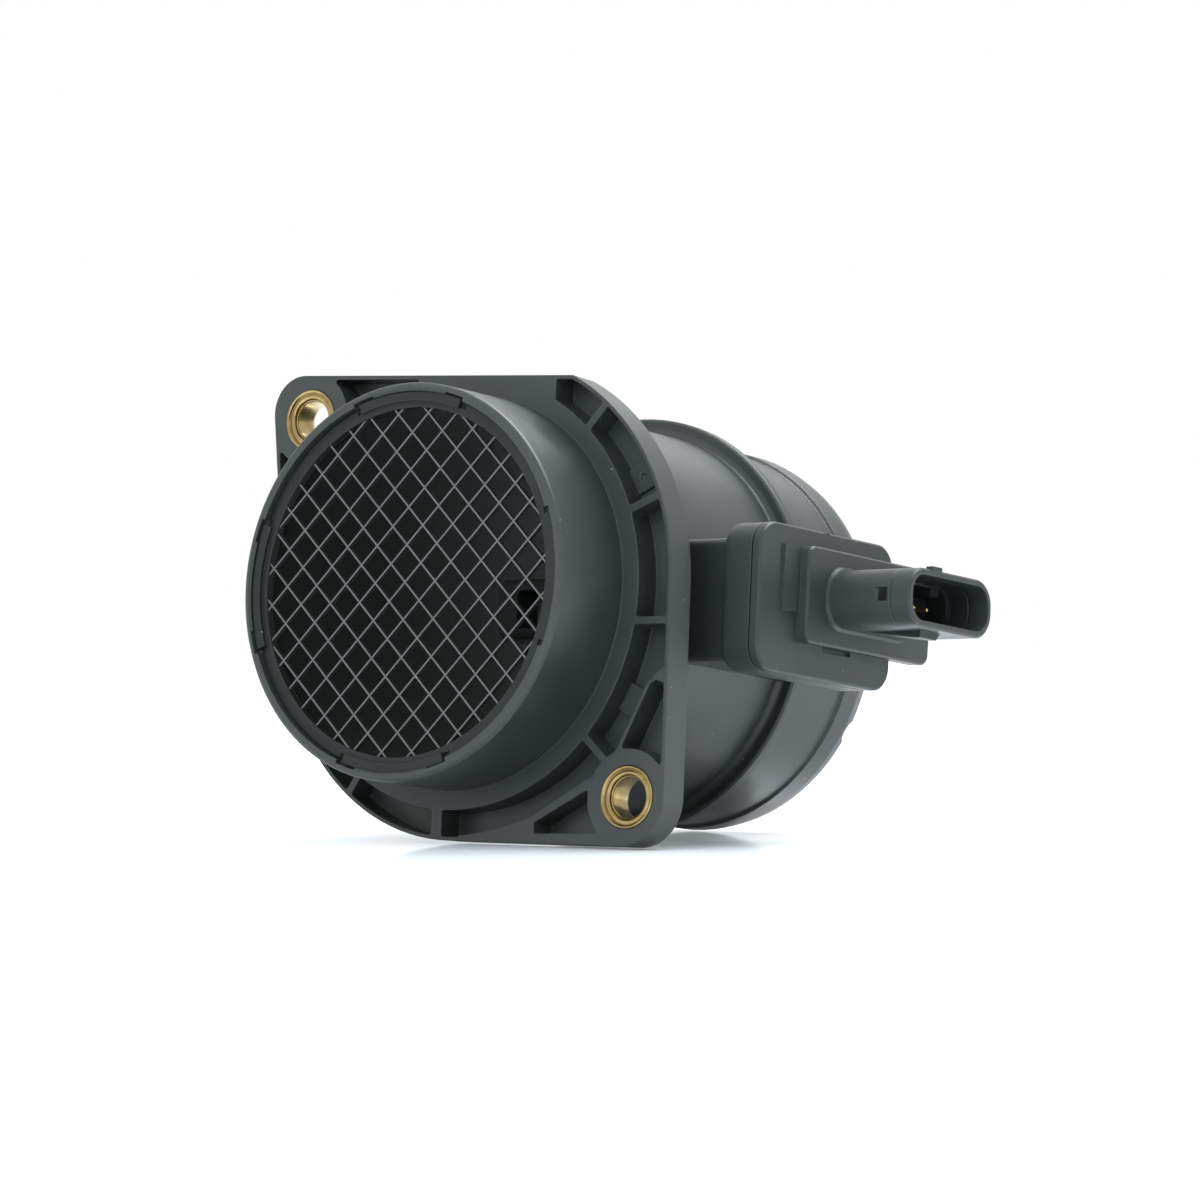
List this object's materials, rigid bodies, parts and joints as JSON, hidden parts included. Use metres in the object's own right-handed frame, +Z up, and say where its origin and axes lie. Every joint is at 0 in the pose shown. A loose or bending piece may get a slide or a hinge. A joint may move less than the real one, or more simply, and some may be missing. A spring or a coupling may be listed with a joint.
{
  "type": "mass airflow sensor",
  "caption": "Tubular duct housing with a corner-eared mounting flange, diamond inlet grid, side plug socket and a measuring finger across the air passage.",
  "frame": {"origin": "on the duct axis, in the front mounting plane of the flange", "axes": "+Y along the air flow from inlet to outlet, +X towards the plug socket, +Z up"},
  "size_m": [0.1163, 0.0965, 0.0856],
  "materials": {
    "housing_plastic": "satin black glass-filled moulding",
    "grid_plastic": "satin black moulding",
    "head_plastic": "satin black glass-filled moulding",
    "cover_plastic": "satin black moulding",
    "bush_brass": "turned, slightly tarnished",
    "seal_rubber": "smooth",
    "plate_aluminium": "rolled",
    "board_ceramic": "fired ceramic board",
    "component_black": "moulded chip package",
    "capacitor_body": "fired ceramic body",
    "sensor_silicon": "polished silicon",
    "terminal_metal": "plated",
    "bead_glass": "glass bead",
    "lead_wire": "tinned wire"
  },
  "bodies": {
    "root": {"duct_housing": "housing_plastic", "inlet_grid": "grid_plastic", "upper_bush": "bush_brass", "lower_bush": "bush_brass", "sensor_carrier": "head_plastic", "carrier_seal": "seal_rubber", "heat_plate": "plate_aluminium", "hybrid_board": "board_ceramic", "evaluation_chip": "component_black", "capacitor_a": "capacitor_body", "capacitor_b": "capacitor_body", "chip_tongue": "plate_aluminium", "sensor_chip": "sensor_silicon", "hybrid_cover": "cover_plastic", "bypass_cover": "cover_plastic", "ntc_bead": "bead_glass", "ntc_lead_a": "lead_wire", "ntc_lead_b": "lead_wire", "terminal_1": "terminal_metal", "terminal_2": "terminal_metal", "terminal_3": "terminal_metal", "terminal_4": "terminal_metal", "terminal_5": "terminal_metal"}
  },
  "joints": []
}
